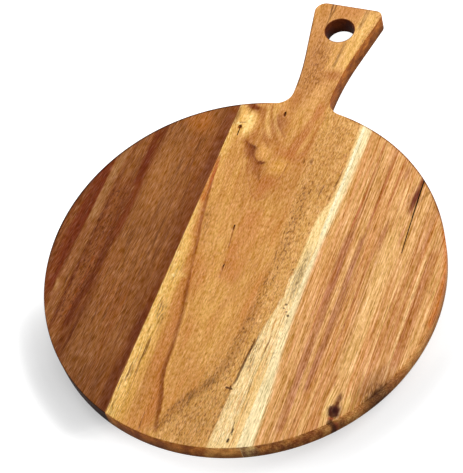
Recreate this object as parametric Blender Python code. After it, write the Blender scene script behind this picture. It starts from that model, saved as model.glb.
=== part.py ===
"""Round serving board with a flared handle, edge-glued from three staves of acacia.

Metres, +Z up. The origin is the centre of the round on the underside, and +Y runs along the grain from
there to the end of the handle. The panel is made as in a workshop: the outline is sawn and drilled, its
edges are rounded over, and it divides at the glue joints into its staves and the films of glue between.
"""

import math

import bmesh
import bpy

# Overall sizes
DISC_DIAMETER = 0.305
THICKNESS = 0.016
EDGE_ROUNDING = 0.001

# Handle, measured from the rim of the round to its flat end; shaped by hand, its two sides differ a little
HANDLE_LENGTH = 0.1045
NECK_WIDTH = 0.0317
NECK_FILLET_RADIUS = 0.0132
FLARE_ARC_RADIUS = 0.225
LEFT_FLARE_ANGLE = math.radians(9.75)
RIGHT_FLARE_ANGLE = math.radians(12.0)
LEFT_CORNER_RADIUS = 0.0089
RIGHT_CORNER_RADIUS = 0.0060

# Hanging hole
HOLE_DIAMETER = 0.0234
HOLE_X = 0.0003
HOLE_TO_HANDLE_END = 0.0259

# Glue joints, on planes along the grain
LEFT_JOINT_X = -0.0532
RIGHT_JOINT_X = 0.0522
GLUE_THICKNESS = 0.00015

# Fineness of the round stretches: how far a facet may lie inside its true arc
CHORD_ERROR = 0.00002
ROUNDING_SEGMENTS = 4
SHARP_ANGLE = math.radians(40)

# How far a cutter reaches past what it cuts
CUTTER_OVERRUN = 0.02

# Finishes: colour, roughness
DARK_HEARTWOOD = ((0.205, 0.082, 0.031), 0.45)
GOLDEN_HEARTWOOD = ((0.520, 0.255, 0.080), 0.45)
STRIPED_HEARTWOOD = ((0.470, 0.225, 0.080), 0.45)
CURED_GLUE = ((0.190, 0.095, 0.040), 0.60)

# Sizes that follow
DISC_RADIUS = DISC_DIAMETER / 2
NECK_HALF = NECK_WIDTH / 2
HANDLE_END_Y = DISC_RADIUS + HANDLE_LENGTH
HOLE_Y = HANDLE_END_Y - HOLE_TO_HANDLE_END
HALF_GLUE = GLUE_THICKNESS / 2


def clear_scene():
    for obj in list(bpy.data.objects):
        bpy.data.objects.remove(obj, do_unlink=True)


def finish(name, colour, roughness):
    material = bpy.data.materials.new(name)
    material.use_nodes = True
    shader = material.node_tree.nodes["Principled BSDF"]
    shader.inputs["Base Color"].default_value = (*colour, 1.0)
    shader.inputs["Roughness"].default_value = roughness
    shader.inputs["Metallic"].default_value = 0.0
    return material


def facets(radius, sweep):
    """How many facets an arc takes to stay within the chord error."""
    step = 2 * math.acos(1 - CHORD_ERROR / radius)
    return max(2, math.ceil(abs(sweep) / step))


def arc(centre, radius, start, end):
    """Points along an arc, both ends included."""
    count = facets(radius, end - start)
    angles = [start + (end - start) * i / count for i in range(count + 1)]
    return [(centre[0] + radius * math.cos(a), centre[1] + radius * math.sin(a)) for a in angles]


def half_outline(flare_angle, corner_radius):
    """One half of the outline, drawn as the right one, from the foot of the round to the handle's end."""
    fillet_x = NECK_HALF + NECK_FILLET_RADIUS
    fillet_y = math.sqrt((DISC_RADIUS + NECK_FILLET_RADIUS) ** 2 - fillet_x**2)
    to_fillet = math.atan2(fillet_y, fillet_x)
    rim = arc((0, 0), DISC_RADIUS, -math.pi / 2, to_fillet)
    fillet = arc((fillet_x, fillet_y), NECK_FILLET_RADIUS, to_fillet + math.pi, math.pi)

    flare_centre = (NECK_HALF + FLARE_ARC_RADIUS, fillet_y)
    flare = arc(flare_centre, FLARE_ARC_RADIUS, math.pi, math.pi - flare_angle)

    # The rounded corner touches the straight flare and the flat end
    flare_end_x, flare_end_y = flare[-1]
    corner_y = HANDLE_END_Y - corner_radius
    touch_y = corner_y - corner_radius * math.sin(flare_angle)
    touch_x = flare_end_x + (touch_y - flare_end_y) * math.tan(flare_angle)
    corner_x = touch_x - corner_radius * math.cos(flare_angle)
    corner = arc((corner_x, corner_y), corner_radius, -flare_angle, math.pi / 2)
    return rim + fillet[1:] + flare[1:] + corner


def sawn_outline(name):
    """The whole outline as a solid of the board's thickness."""
    right = half_outline(RIGHT_FLARE_ANGLE, RIGHT_CORNER_RADIUS)
    left = half_outline(LEFT_FLARE_ANGLE, LEFT_CORNER_RADIUS)
    ring = right + [(-x, y) for x, y in reversed(left[1:])]
    bm = bmesh.new()
    face = bm.faces.new([bm.verts.new((x, y, 0)) for x, y in ring])
    raised = bmesh.ops.extrude_face_region(bm, geom=[face])["geom"]
    tops = [v for v in raised if isinstance(v, bmesh.types.BMVert)]
    bmesh.ops.translate(bm, verts=tops, vec=(0, 0, THICKNESS))
    bmesh.ops.recalc_face_normals(bm, faces=bm.faces)
    mesh = bpy.data.meshes.new(name)
    bm.to_mesh(mesh)
    bm.free()
    return mesh


def add_object(name, mesh):
    obj = bpy.data.objects.new(name, mesh)
    bpy.context.scene.collection.objects.link(obj)
    return obj


def add_cutter(name, mesh):
    cutter = add_object(name, mesh)
    cutter.hide_render = True
    cutter.display_type = "WIRE"
    return cutter


def hole_drill():
    """The drill for the hanging hole."""
    bm = bmesh.new()
    bmesh.ops.create_cone(
        bm,
        cap_ends=True,
        segments=facets(HOLE_DIAMETER / 2, 2 * math.pi),
        radius1=HOLE_DIAMETER / 2,
        radius2=HOLE_DIAMETER / 2,
        depth=THICKNESS + 2 * CUTTER_OVERRUN,
    )
    bmesh.ops.translate(bm, verts=bm.verts, vec=(HOLE_X, HOLE_Y, THICKNESS / 2))
    mesh = bpy.data.meshes.new("hole_drill")
    bm.to_mesh(mesh)
    bm.free()
    return add_cutter("hole_drill", mesh)


def shaped_panel():
    """The panel with its hole drilled and all its edges rounded over."""
    panel = add_object("panel_blank", sawn_outline("panel_blank"))
    drilling = panel.modifiers.new("hanging_hole", "BOOLEAN")
    drilling.operation = "DIFFERENCE"
    drilling.object = hole_drill()
    rounding = panel.modifiers.new("edge_rounding", "BEVEL")
    rounding.limit_method = "ANGLE"
    rounding.angle_limit = SHARP_ANGLE
    rounding.width = EDGE_ROUNDING
    rounding.segments = ROUNDING_SEGMENTS
    graph = bpy.context.evaluated_depsgraph_get()
    mesh = bpy.data.meshes.new_from_object(panel.evaluated_get(graph))
    bpy.data.objects.remove(panel, do_unlink=True)
    return mesh


def slab(name, x_low, x_high):
    """A box that keeps what lies between two planes across the panel."""
    y_low = -DISC_RADIUS - CUTTER_OVERRUN
    y_high = HANDLE_END_Y + CUTTER_OVERRUN
    bm = bmesh.new()
    bmesh.ops.create_cube(bm, size=2)
    for vert in bm.verts:
        vert.co.x = x_low if vert.co.x < 0 else x_high
        vert.co.y = y_low if vert.co.y < 0 else y_high
        vert.co.z = -CUTTER_OVERRUN if vert.co.z < 0 else THICKNESS + CUTTER_OVERRUN
    mesh = bpy.data.meshes.new(name)
    bm.to_mesh(mesh)
    bm.free()
    return add_cutter(name, mesh)


def piece_of_panel(name, panel, x_low, x_high, material, board):
    """One stave, or one film of glue: the panel's share between two planes."""
    mesh = panel.copy()
    mesh.name = name
    mesh.materials.clear()
    mesh.materials.append(material)
    mesh.shade_smooth()
    mesh.set_sharp_from_angle(angle=SHARP_ANGLE)
    piece = add_object(name, mesh)
    piece.parent = board
    share = piece.modifiers.new("share_of_panel", "BOOLEAN")
    share.operation = "INTERSECT"
    share.object = slab(name + "_slab", x_low, x_high)
    return piece


def build_board():
    board = bpy.data.objects.new("round_serving_board", None)
    bpy.context.scene.collection.objects.link(board)
    panel = shaped_panel()
    outside = DISC_RADIUS + CUTTER_OVERRUN
    glue = finish("cured_glue", *CURED_GLUE)
    pieces = [
        ("left_stave", -outside, LEFT_JOINT_X - HALF_GLUE, finish("dark_heartwood", *DARK_HEARTWOOD)),
        ("left_glue_line", LEFT_JOINT_X - HALF_GLUE, LEFT_JOINT_X + HALF_GLUE, glue),
        (
            "centre_stave",
            LEFT_JOINT_X + HALF_GLUE,
            RIGHT_JOINT_X - HALF_GLUE,
            finish("golden_heartwood", *GOLDEN_HEARTWOOD),
        ),
        ("right_glue_line", RIGHT_JOINT_X - HALF_GLUE, RIGHT_JOINT_X + HALF_GLUE, glue),
        ("right_stave", RIGHT_JOINT_X + HALF_GLUE, outside, finish("striped_heartwood", *STRIPED_HEARTWOOD)),
    ]
    for name, x_low, x_high, material in pieces:
        piece_of_panel(name, panel, x_low, x_high, material, board)


clear_scene()
build_board()
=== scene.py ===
import math

import bmesh
import bpy
from mathutils import Matrix, Quaternion, Vector, noise


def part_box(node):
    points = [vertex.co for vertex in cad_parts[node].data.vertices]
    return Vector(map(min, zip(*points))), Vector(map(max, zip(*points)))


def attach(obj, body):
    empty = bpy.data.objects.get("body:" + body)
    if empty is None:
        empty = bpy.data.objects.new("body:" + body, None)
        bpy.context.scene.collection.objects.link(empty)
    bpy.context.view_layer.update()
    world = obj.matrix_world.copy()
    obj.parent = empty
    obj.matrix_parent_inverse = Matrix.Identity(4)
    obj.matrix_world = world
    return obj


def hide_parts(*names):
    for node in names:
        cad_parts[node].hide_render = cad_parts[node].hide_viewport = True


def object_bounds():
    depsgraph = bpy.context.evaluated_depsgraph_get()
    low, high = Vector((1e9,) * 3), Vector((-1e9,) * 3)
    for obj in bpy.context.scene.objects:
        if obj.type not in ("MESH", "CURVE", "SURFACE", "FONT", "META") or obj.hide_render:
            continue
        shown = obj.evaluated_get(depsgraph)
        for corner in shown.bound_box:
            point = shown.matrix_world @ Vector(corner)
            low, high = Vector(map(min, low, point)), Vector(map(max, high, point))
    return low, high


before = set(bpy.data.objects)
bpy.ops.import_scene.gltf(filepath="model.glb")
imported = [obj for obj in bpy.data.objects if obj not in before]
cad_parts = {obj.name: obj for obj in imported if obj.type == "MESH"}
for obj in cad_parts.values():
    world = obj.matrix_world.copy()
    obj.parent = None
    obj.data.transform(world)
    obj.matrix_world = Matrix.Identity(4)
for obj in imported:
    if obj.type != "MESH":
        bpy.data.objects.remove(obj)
cadLow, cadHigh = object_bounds()
perMetre = 1000
white = (1.0, 1.0, 1.0, 1.0)
black = (0.0, 0.0, 0.0, 1.0)

# the grain's figure is laid out in millimetres, from near the centre of the round
figure = {
    "scale": (1003.3, 1005.0, 1000.0),
    "shift": (-0.39, -0.3, 0.0),
}
print("frame loaded:", sorted(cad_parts))


# Shader bench

class Value:
    # a socket, wrapped so that sums on it add Math nodes
    def __init__(self, bench, socket):
        self.bench = bench
        self.socket = socket

    def math(self, operation, *others):
        return self.bench.node("ShaderNodeMath", {"operation": operation}, [self, *others])

    def __add__(self, other):
        return self.math("ADD", other)

    def __radd__(self, other):
        return self.math("ADD", other)

    def __sub__(self, other):
        return self.math("SUBTRACT", other)

    def __rsub__(self, other):
        return self.bench.node("ShaderNodeMath", {"operation": "SUBTRACT"}, [other, self])

    def __mul__(self, other):
        return self.math("MULTIPLY", other)

    def __rmul__(self, other):
        return self.math("MULTIPLY", other)

    def __truediv__(self, other):
        return self.math("DIVIDE", other)

    def __pow__(self, other):
        return self.math("POWER", other)

    def __abs__(self):
        return self.math("ABSOLUTE")


class Bench:
    # a node tree with a few helpers
    def __init__(self, tree):
        self.tree = tree
        self.tree.nodes.clear()

    def node(self, kind, settings=None, sockets=None, out=0):
        made = self.tree.nodes.new(kind)
        for name, setting in (settings or {}).items():
            if name == "stops":
                self.setStops(made.color_ramp, setting)
            elif name == "points":
                self.setPoints(made.mapping, setting)
            else:
                setattr(made, name, setting)
        feeds = sockets if isinstance(sockets, dict) else dict(enumerate(sockets or []))
        for key, feed in feeds.items():
            if isinstance(feed, Value):
                self.tree.links.new(feed.socket, made.inputs[key])
            else:
                made.inputs[key].default_value = feed
        if isinstance(out, tuple):
            return [Value(self, made.outputs[o]) for o in out]
        return Value(self, made.outputs[out]) if made.outputs else made

    def setStops(self, ramp, stops):
        while len(ramp.elements) < len(stops):
            ramp.elements.new(1.0)
        for element, (place, colour) in zip(ramp.elements, stops):
            element.position = place
            element.color = colour

    def setPoints(self, mapping, points):
        mapping.extend = "HORIZONTAL"
        line = mapping.curves[0]
        while len(line.points) < len(points):
            line.points.new(0.5, 0.5)
        for point, place in zip(line.points, points):
            point.location = place
            point.handle_type = "AUTO_CLAMPED"
        mapping.update()

    def smooth(self, value, low, high):
        # 0 at low, 1 at high, eased between
        steps = {"interpolation_type": "SMOOTHSTEP", "clamp": False}
        return self.node("ShaderNodeMapRange", steps, {0: value, 1: low, 2: high})

    def curve(self, value, points):
        # a smooth line through a few (place, height) points, level beyond its ends
        points = sorted(points)
        start, end = points[0][0], points[-1][0]
        low = min(height for place, height in points)
        span = max(max(height for place, height in points) - low, 0.001)
        shape = [((place - start) / (end - start), (height - low) / span) for place, height in points]
        along = self.node("ShaderNodeMapRange", {"clamp": False}, {0: value, 1: start, 2: end})
        return self.node("ShaderNodeFloatCurve", {"points": shape}, {1: along}) * span + low

    def noise(self, vector, size, detail=2.0, shift=0.0):
        # about -1 to 1; size is the length of its waves along x, y and z
        scaled = self.node(
            "ShaderNodeMapping",
            {"vector_type": "POINT"},
            {"Vector": vector, "Location": (shift, shift, shift), "Scale": [1 / s for s in size]},
        )
        raw = self.node("ShaderNodeTexNoise", None, {"Vector": scaled, "Scale": 1.0, "Detail": detail})
        return raw * 2 - 1

    def join(self, *parts):
        return self.node("ShaderNodeCombineXYZ", None, parts)

    def split(self, vector, axes):
        return self.node("ShaderNodeSeparateXYZ", None, [vector], out=tuple(axes))

    def vector(self, operation, sockets, out=0):
        return self.node("ShaderNodeVectorMath", {"operation": operation}, sockets, out)

    def mix(self, base, colour, amount, blend="MIX"):
        settings = {"data_type": "RGBA", "blend_type": blend}
        return self.node("ShaderNodeMix", settings, {0: amount, 6: base, 7: colour}, out=2)


def newMaterial(name):
    material = bpy.data.materials.new(name)
    material.use_nodes = True
    return material, Bench(material.node_tree)


def srgb(red, green, blue):
    # a colour as given on screen, in the renderer's linear values
    def linear(level):
        share = level / 255
        return share / 12.92 if share <= 0.04045 else ((share + 0.055) / 1.055) ** 2.4

    return (linear(red), linear(green), linear(blue), 1.0)


def meshFrom(bm, name):
    mesh = bpy.data.meshes.new(name)
    bm.to_mesh(mesh)
    bm.free()
    return mesh


def addObject(name, data):
    made = bpy.data.objects.new(name, data)
    bpy.context.scene.collection.objects.link(made)
    return made


# Board: outline, panel and staves

outline = {
    "neckWidth": 0.0317,
    "neckFillet": 0.0132,
    "flareRadius": 0.225,
    "flareAngles": {1: math.radians(12.0), -1: math.radians(9.75)},  # right side, left side
    "endCorners": {1: 0.006, -1: 0.0089},
    "holeDiameter": 0.0234,
    "holeX": 0.0003,
    "holeToEnd": 0.0259,
    "holeSegments": 96,
    "edgeRounding": 0.001,
    "roundingSteps": 5,
    "arcStep": math.radians(1.0),
    "smallArcStep": math.radians(5.0),
    "sharpAngle": math.radians(40),
    "weld": 1e-6,
    "sawWeld": 1e-7,
}

discRadius = -cadLow.y
handleEnd = cadHigh.y
thickness = cadHigh.z


def sweep(bm, vert, centre, angle, step):
    # a vertex swept round a centre leaves an arc behind it
    steps = max(2, round(abs(angle) / step))
    swept = bmesh.ops.spin(
        bm, geom=[vert], cent=(*centre, 0), axis=(0, 0, 1), angle=angle, steps=steps, use_merge=False
    )
    return swept["geom_last"][0]


def drawTo(bm, vert, x, y):
    end = bmesh.ops.extrude_vert_indiv(bm, verts=[vert])["verts"][0]
    end.co = (x, y, 0)
    return end


def drawHalf(bm, side):
    # from the foot of the round to the middle of the handle's end; side 1 is the right half, -1 the left
    neckHalf = outline["neckWidth"] / 2
    fillet = outline["neckFillet"]
    flare = outline["flareAngles"][side]
    corner = outline["endCorners"][side]
    filletX = neckHalf + fillet
    filletY = math.sqrt((discRadius + fillet) ** 2 - filletX**2)
    toFillet = math.atan2(filletY, filletX)
    pen = bm.verts.new((0, -discRadius, 0))
    pen = sweep(bm, pen, (0, 0), side * (toFillet + math.pi / 2), outline["arcStep"])
    pen = sweep(bm, pen, (side * filletX, filletY), -side * toFillet, outline["smallArcStep"])
    flareX = side * (neckHalf + outline["flareRadius"])
    pen = sweep(bm, pen, (flareX, filletY), -side * flare, outline["arcStep"])
    cornerY = handleEnd - corner
    touchY = cornerY - corner * math.sin(flare)
    touchX = pen.co.x + side * (touchY - pen.co.y) * math.tan(flare)
    pen = drawTo(bm, pen, touchX, touchY)
    cornerX = touchX - side * corner * math.cos(flare)
    pen = sweep(bm, pen, (cornerX, cornerY), side * (flare + math.pi / 2), outline["smallArcStep"])
    drawTo(bm, pen, 0, handleEnd)


def cutPanel():
    # the outline with its hole, sawn to thickness and rounded over
    bm = bmesh.new()
    drawHalf(bm, 1)
    drawHalf(bm, -1)
    bmesh.ops.remove_doubles(bm, verts=bm.verts, dist=outline["weld"])
    holeCentre = Matrix.Translation((outline["holeX"], handleEnd - outline["holeToEnd"], 0))
    holeRadius = outline["holeDiameter"] / 2
    bmesh.ops.create_circle(bm, segments=outline["holeSegments"], radius=holeRadius, matrix=holeCentre)
    bmesh.ops.triangle_fill(bm, edges=bm.edges, use_beauty=True, use_dissolve=True)
    raised = bmesh.ops.extrude_face_region(bm, geom=bm.faces[:])["geom"]
    tops = [v for v in raised if isinstance(v, bmesh.types.BMVert)]
    bmesh.ops.translate(bm, verts=tops, vec=(0, 0, thickness))
    bmesh.ops.recalc_face_normals(bm, faces=bm.faces)
    arrises = [e for e in bm.edges if e.calc_face_angle(0) > outline["sharpAngle"]]
    bmesh.ops.bevel(
        bm,
        geom=arrises,
        offset=outline["edgeRounding"],
        offset_type="OFFSET",
        segments=outline["roundingSteps"],
        profile=0.5,
        affect="EDGES",
        material=-1,
        clamp_overlap=True,
    )
    return bm


def keepBetween(bm, lowX, highX):
    # saw away what lies outside two planes along the grain and close the cuts
    for x, away in ((lowX, -1), (highX, 1)):
        geom = [*bm.verts, *bm.edges, *bm.faces]
        plane = {"plane_co": (x, 0, 0), "plane_no": (away, 0, 0)}
        bmesh.ops.bisect_plane(bm, geom=geom, dist=outline["sawWeld"], clear_outer=True, **plane)
        bmesh.ops.holes_fill(bm, edges=[e for e in bm.edges if e.is_boundary], sides=0)
    bmesh.ops.recalc_face_normals(bm, faces=bm.faces)


# Pits and cracks in the serving face

flaws = {
    "pitDetail": 3,
    "pitWaves": 1.7,
    "pitRoughness": 0.28,
    "crackStep": 2.0,
    "crackSides": 4,
    "crackWaves": 0.31,
    "crackRoughness": 0.35,
    "crackTaper": 3.0,
    "crackTip": 0.04,
    "crackShallowest": 0.3,
    "weld": 3e-6,
}


def onFace(x, y):
    # a place in the figure, as a point on the serving face
    (shiftX, shiftY, _), (scaleX, scaleY, _) = figure["shift"], figure["scale"]
    return Vector(((x - shiftX) / scaleX, (y - shiftY) / scaleY, thickness))


def addPit(bm, place, halfSizes, depth, turn):
    shape = Matrix.Diagonal((halfSizes[0] / perMetre, halfSizes[1] / perMetre, depth / perMetre, 1))
    spin = Matrix.Rotation(math.radians(turn), 4, "Z")
    where = Matrix.Translation(onFace(*place)) @ spin @ shape
    ball = bmesh.ops.create_icosphere(bm, subdivisions=flaws["pitDetail"], radius=1)
    for vert in ball["verts"]:
        swell = noise.noise(vert.co * flaws["pitWaves"] + Vector((*place, 0)))
        vert.co = where @ (vert.co * (1 + swell * flaws["pitRoughness"]))


def addCrack(bm, path, width, depth):
    # a wedge along a bent line, thin at both ends
    points = [onFace(*place) for place in path]
    rings = []
    for start, end in zip(points, points[1:]):
        steps = max(1, round((end - start).length * perMetre / flaws["crackStep"]))
        rings += [start.lerp(end, i / steps) for i in range(steps)]
    rings.append(points[-1])
    last = len(rings) - 1
    up = Vector((0, 0, 1))
    previous = None
    for i, place in enumerate(rings):
        along = (rings[min(i + 1, last)] - rings[max(i - 1, 0)]).normalized()
        taper = max(flaws["crackTip"], min(1.0, flaws["crackTaper"] * min(i, last - i) / last))
        uneven = 1 + noise.noise(place * perMetre * flaws["crackWaves"]) * flaws["crackRoughness"]
        wide = width / 2 / perMetre * taper * uneven
        down = depth / perMetre * max(flaws["crackShallowest"], taper)
        turned = Matrix((along.cross(up), up, along)).transposed().to_4x4()
        shape = Matrix.Translation(place) @ turned @ Matrix.Diagonal((wide, down, 1, 1))
        ends = {"cap_ends": i in (0, last), "segments": flaws["crackSides"]}
        ring = bmesh.ops.create_circle(bm, radius=1, matrix=shape, **ends)["verts"]
        loop = [e for e in {e for v in ring for e in v.link_edges} if all(v in ring for v in e.verts)]
        if previous:
            bmesh.ops.bridge_loops(bm, edges=previous + loop)
        previous = loop


def cutFlaws(piece, wood):
    # take the pits and cracks out of a stave
    bm = bmesh.new()
    for place, halfSizes, depth, turn in wood.get("pits", []):
        addPit(bm, place, halfSizes, depth, turn)
    for path, width, depth in wood.get("cracks", []):
        addCrack(bm, path, width, depth)
    bmesh.ops.recalc_face_normals(bm, faces=bm.faces)
    mesh = meshFrom(bm, "flawCutter")
    cutter = addObject("flawCutter", mesh)
    cut = piece.modifiers.new("flaws", "BOOLEAN")
    cut.operation = "DIFFERENCE"
    cut.solver = "EXACT"
    cut.use_self = True
    cut.object = cutter
    graph = bpy.context.evaluated_depsgraph_get()
    flawed = bpy.data.meshes.new_from_object(piece.evaluated_get(graph))
    piece.modifiers.clear()
    # slivers along the cuts are welded shut
    bm = bmesh.new()
    bm.from_mesh(flawed)
    bmesh.ops.remove_doubles(bm, verts=bm.verts, dist=flaws["weld"])
    bmesh.ops.dissolve_degenerate(bm, edges=bm.edges, dist=flaws["weld"])
    bm.to_mesh(flawed)
    bm.free()
    plain = piece.data
    piece.data = flawed
    flawed.name = piece.name
    bpy.data.meshes.remove(plain)
    bpy.data.objects.remove(cutter)
    bpy.data.meshes.remove(mesh)


def addPiece(name, node, bm, material, wood):
    piece = addObject(name, meshFrom(bm, name))
    if wood.get("pits") or wood.get("cracks"):
        cutFlaws(piece, wood)
    piece.data.shade_smooth()
    piece.data.set_sharp_from_angle(angle=outline["sharpAngle"])
    piece.data.materials.clear()
    piece.data.materials.append(material)
    even = piece.modifiers.new("evenFaces", "WEIGHTED_NORMAL")
    even.keep_sharp = True
    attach(piece, "root")
    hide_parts(node)
    print("piece made:", name, len(piece.data.vertices), "vertices")


# Wood: what the three staves share

finish = {
    "specular": 0.04,
    "roughness": 0.55,
    "roughnessSpread": 0.08,
    "fibreSize": (0.5, 16.0, 0.5),
    "poreTint": (0.36, 0.26, 0.2, 1.0),
    "bumpHeight": 0.00006,
    "bumpStrength": 0.3,
    "endFrom": 0.5,
    "endTo": 0.95,
    "wallFrom": 0.96,
    "wallTo": 0.6,
    "wallPatches": (7, 12, 9),
    "wallFootShade": (3.0, 15.0, 0.55),
    # where the painted shade along the rim lies
    "rim": (150.8, 152.5),
    "neck": (30.0, 36.0),
    "tip": (256.3, 257.8),
    "rimShadeFacing": (0.1, 0.45),
    "scratchSlant": 0.26,
    "raggedSize": (1.3, 6.0, 1.3),
    "unevenSize": (5.0, 26.0, 5.0),
    "unevenEdge": (-0.45, 0.2),
    "unevenLoss": 0.45,
    "upperDepth": (9.0, 4.0),
    "longestFade": 10.0,
    # painted shade in the pits and cracks: colour and amount
    "hollowShade": ((34, 15, 6), 0.92),
    "pitShadeSoft": 0.3,
    "crackShadeWidth": 0.45,
    "crackShadeSoft": 0.35,
    "fleckFading": 0.3,
    "patchEdge": (-0.35, 0.35),
    "blushEdge": (-0.1, 0.45),
    "fibreHeight": 0.5,
    "tickRoughness": 0.1,
    # what breaks up a mark: space, wave lengths, shift, where the noise starts to show and is full
    "textures": {
        "dashes": ("straight", (0.9, 5.0, 0.9), 8.1, (-0.15, 0.2)),
        "threads": ("straight", (0.8, 20.0, 1.0), 7.7, (0.0, 0.3)),
        "pores": ("slanted", (1.0, 2.8, 1.0), 4.4, (0.0, 0.35)),
        "scratches": ("scratched", (0.7, 15.0, 2.0), 9.2, (0.1, 0.45)),
        "fibres": ("straight", (0.6, 24.0, 0.8), 12.3, (0.14, 0.4)),
    },
}


def grainSpace(bench, wood):
    # u runs across the grain, v along it and deep down from the serving face, all in millimetres
    held, normal = bench.node("ShaderNodeTexCoord", out=("Object", "Normal"))
    scaled = {"Vector": held, "Location": figure["shift"], "Scale": figure["scale"]}
    place = bench.node("ShaderNodeMapping", {"vector_type": "POINT"}, scaled)
    x, y, z = bench.split(place, "XYZ")
    deep = thickness * perMetre - z
    wander = bench.noise(place, wood["wanderSize"], detail=1.0, shift=wood["shift"]) * wood["wander"]
    u = x + deep * wood["lean"] + deep * deep * wood["bow"] + wander
    v = y - deep * wood["rise"]
    marked = u
    for atX, atY, halfX, halfY, push in wood.get("bulges", []):
        # the grain flows round a knot
        side, along = u - atX, v - atY
        near = (side * side / -(halfX**2) - along * along / halfY**2).math("EXPONENT")
        marked = marked - side * near * push
    straight = bench.join(marked, v, deep)
    slanted = bench.join(marked + v * wood["slant"], v, deep)
    ragged = bench.noise(straight, finish["raggedSize"], detail=2.0, shift=3.7) * wood["ragged"]
    uneven = bench.noise(straight, finish["unevenSize"], detail=1.0, shift=6.1)
    uneven = bench.smooth(uneven, *finish["unevenEdge"])
    ticks = bench.noise(slanted, wood["tickSize"], detail=1.0, shift=1.9)
    endwise, upward = bench.split(normal, "YZ")
    level = (1.0001 - upward * upward) ** 0.5  # never quite 0
    # painted shade: a dark band along the round's edge, away from the neck, and along the handle's end, on
    # faces that look upwards
    rim = bench.smooth((x * x + y * y) ** 0.5, *finish["rim"]) * bench.smooth(y, *wood["rimFrom"])
    rim = (rim * bench.smooth(abs(x), *finish["neck"])).math("MAXIMUM", bench.smooth(y, *finish["tip"]))
    grain = {
        "place": place,
        "x": x,
        "y": y,
        "straight": straight,
        "slanted": slanted,
        "scratched": bench.join(u - v * finish["scratchSlant"], v, deep),
        "flat": bench.join(u, v, 0.0),
        "deep": deep,
        "u": u + ragged,
        "ring": marked + ragged,
        "v": v + ragged * 2,
        "rim": rim * bench.smooth(upward, *finish["rimShadeFacing"]),
        "endness": bench.smooth(abs(endwise) / level, finish["endFrom"], finish["endTo"]),
        "wallness": bench.smooth(abs(upward), finish["wallFrom"], finish["wallTo"]),
        "ticks": bench.smooth(ticks, *wood["tickEdge"]),
        "uneven": uneven * finish["unevenLoss"] + (1 - finish["unevenLoss"]),
        "upper": bench.smooth(deep, *finish["upperDepth"]),
    }
    for name, (space, size, shift, edge) in finish["textures"].items():
        grain[name] = bench.smooth(bench.noise(grain[space], size, detail=2.0, shift=shift), *edge)
    return grain


def lay(bench, grain, colour, paint, mask, textures, amount):
    # paint where the mask is, broken up by a texture
    for name in textures:
        mask = mask * grain[name]
    return bench.mix(colour, srgb(*paint), mask * amount)


def beyond(bench, grain, colour, mark):
    # everything on one side of a line along the grain: side 1 is right of it, -1 left
    paint, amount, side, soft, *texture, path = mark
    over = (grain["u"] - bench.curve(grain["v"], path)) * side
    return lay(bench, grain, colour, paint, bench.smooth(over, -soft, soft), texture, amount)


def streak(bench, grain, colour, mark):
    # a line of colour along the grain, through (y, x) points; its softness is one number or left and right
    paint, amount, width, soft, *texture, path = mark
    left, right = soft if isinstance(soft, tuple) else (soft, soft)
    low, high = min(y for y, x in path), max(y for y, x in path)
    fade = min(finish["longestFade"], (high - low) / 4)
    side = grain["u"] - bench.curve(grain["v"], path)
    mask = bench.smooth(side, -width - left, -width) * bench.smooth(side, width + right, width)
    mask = mask * bench.smooth(grain["v"], low, low + fade)
    mask = mask * bench.smooth(grain["v"], high, high - fade) * grain["uneven"]
    return lay(bench, grain, colour, paint, mask, texture, amount)


def patch(bench, grain, colour, mark):
    # a soft oval of colour, turned by an angle
    paint, amount, (atX, atY), (halfX, halfY), turn, soft, *texture = mark
    cosTurn, sinTurn = math.cos(math.radians(turn)), math.sin(math.radians(turn))
    across, along = grain["u"] - atX, grain["v"] - atY
    p = (across * cosTurn + along * sinTurn) / halfX
    q = (along * cosTurn - across * sinTurn) / halfY
    mask = bench.smooth((p * p + q * q) ** 0.5, 1 + soft, 1 - soft)
    return lay(bench, grain, colour, paint, mask, texture, amount)


def stroke(bench, grain, colour, mark):
    # a line of colour through (x, y) points in any direction, on the serving face
    paint, amount, width, soft, *texture, path = mark
    nearest = None
    for (startX, startY), (endX, endY) in zip(path, path[1:]):
        run = Vector((endX - startX, endY - startY, 0))
        offset = bench.vector("SUBTRACT", [grain["flat"], (startX, startY, 0)])
        share = bench.vector("DOT_PRODUCT", [offset, run / run.length_squared], "Value")
        share = bench.node("ShaderNodeClamp", None, [share])
        foot = bench.vector("SCALE", {"Vector": run, "Scale": share})
        away = bench.vector("DISTANCE", [offset, foot], "Value")
        nearest = nearest.math("MINIMUM", away) if nearest else away
    mask = bench.smooth(nearest, width + soft, width) * grain["upper"]
    return lay(bench, grain, colour, paint, mask, texture, amount)


def paintMarks(bench, grain, colour, wood):
    kinds = {"washes": patch, "zones": beyond, "streaks": streak, "patches": patch, "strokes": stroke}
    for kind, paintOne in kinds.items():
        for mark in wood.get(kind, []):
            colour = paintOne(bench, grain, colour, mark)
    return colour


def darkenHollows(bench, grain, colour, wood):
    # painted shade in the pits and cracks
    for place, halfSizes, _, turn in wood.get("pits", []):
        hollowShadeMark = (*finish["hollowShade"], place, halfSizes, turn, finish["pitShadeSoft"], "upper")
        colour = patch(bench, grain, colour, hollowShadeMark)
    for path, width, _ in wood.get("cracks", []):
        hollowShadeMark = (*finish["hollowShade"], width * finish["crackShadeWidth"], finish["crackShadeSoft"], path)
        colour = stroke(bench, grain, colour, hollowShadeMark)
    return colour


def layered(bench, grain, base, layers):
    # a level with layers of noise on it
    total = base
    for step, (space, size, detail, amount) in enumerate(layers):
        total = bench.noise(grain[space], size, detail, shift=2.0 + step * 3.7) * amount + total
    return total


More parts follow.
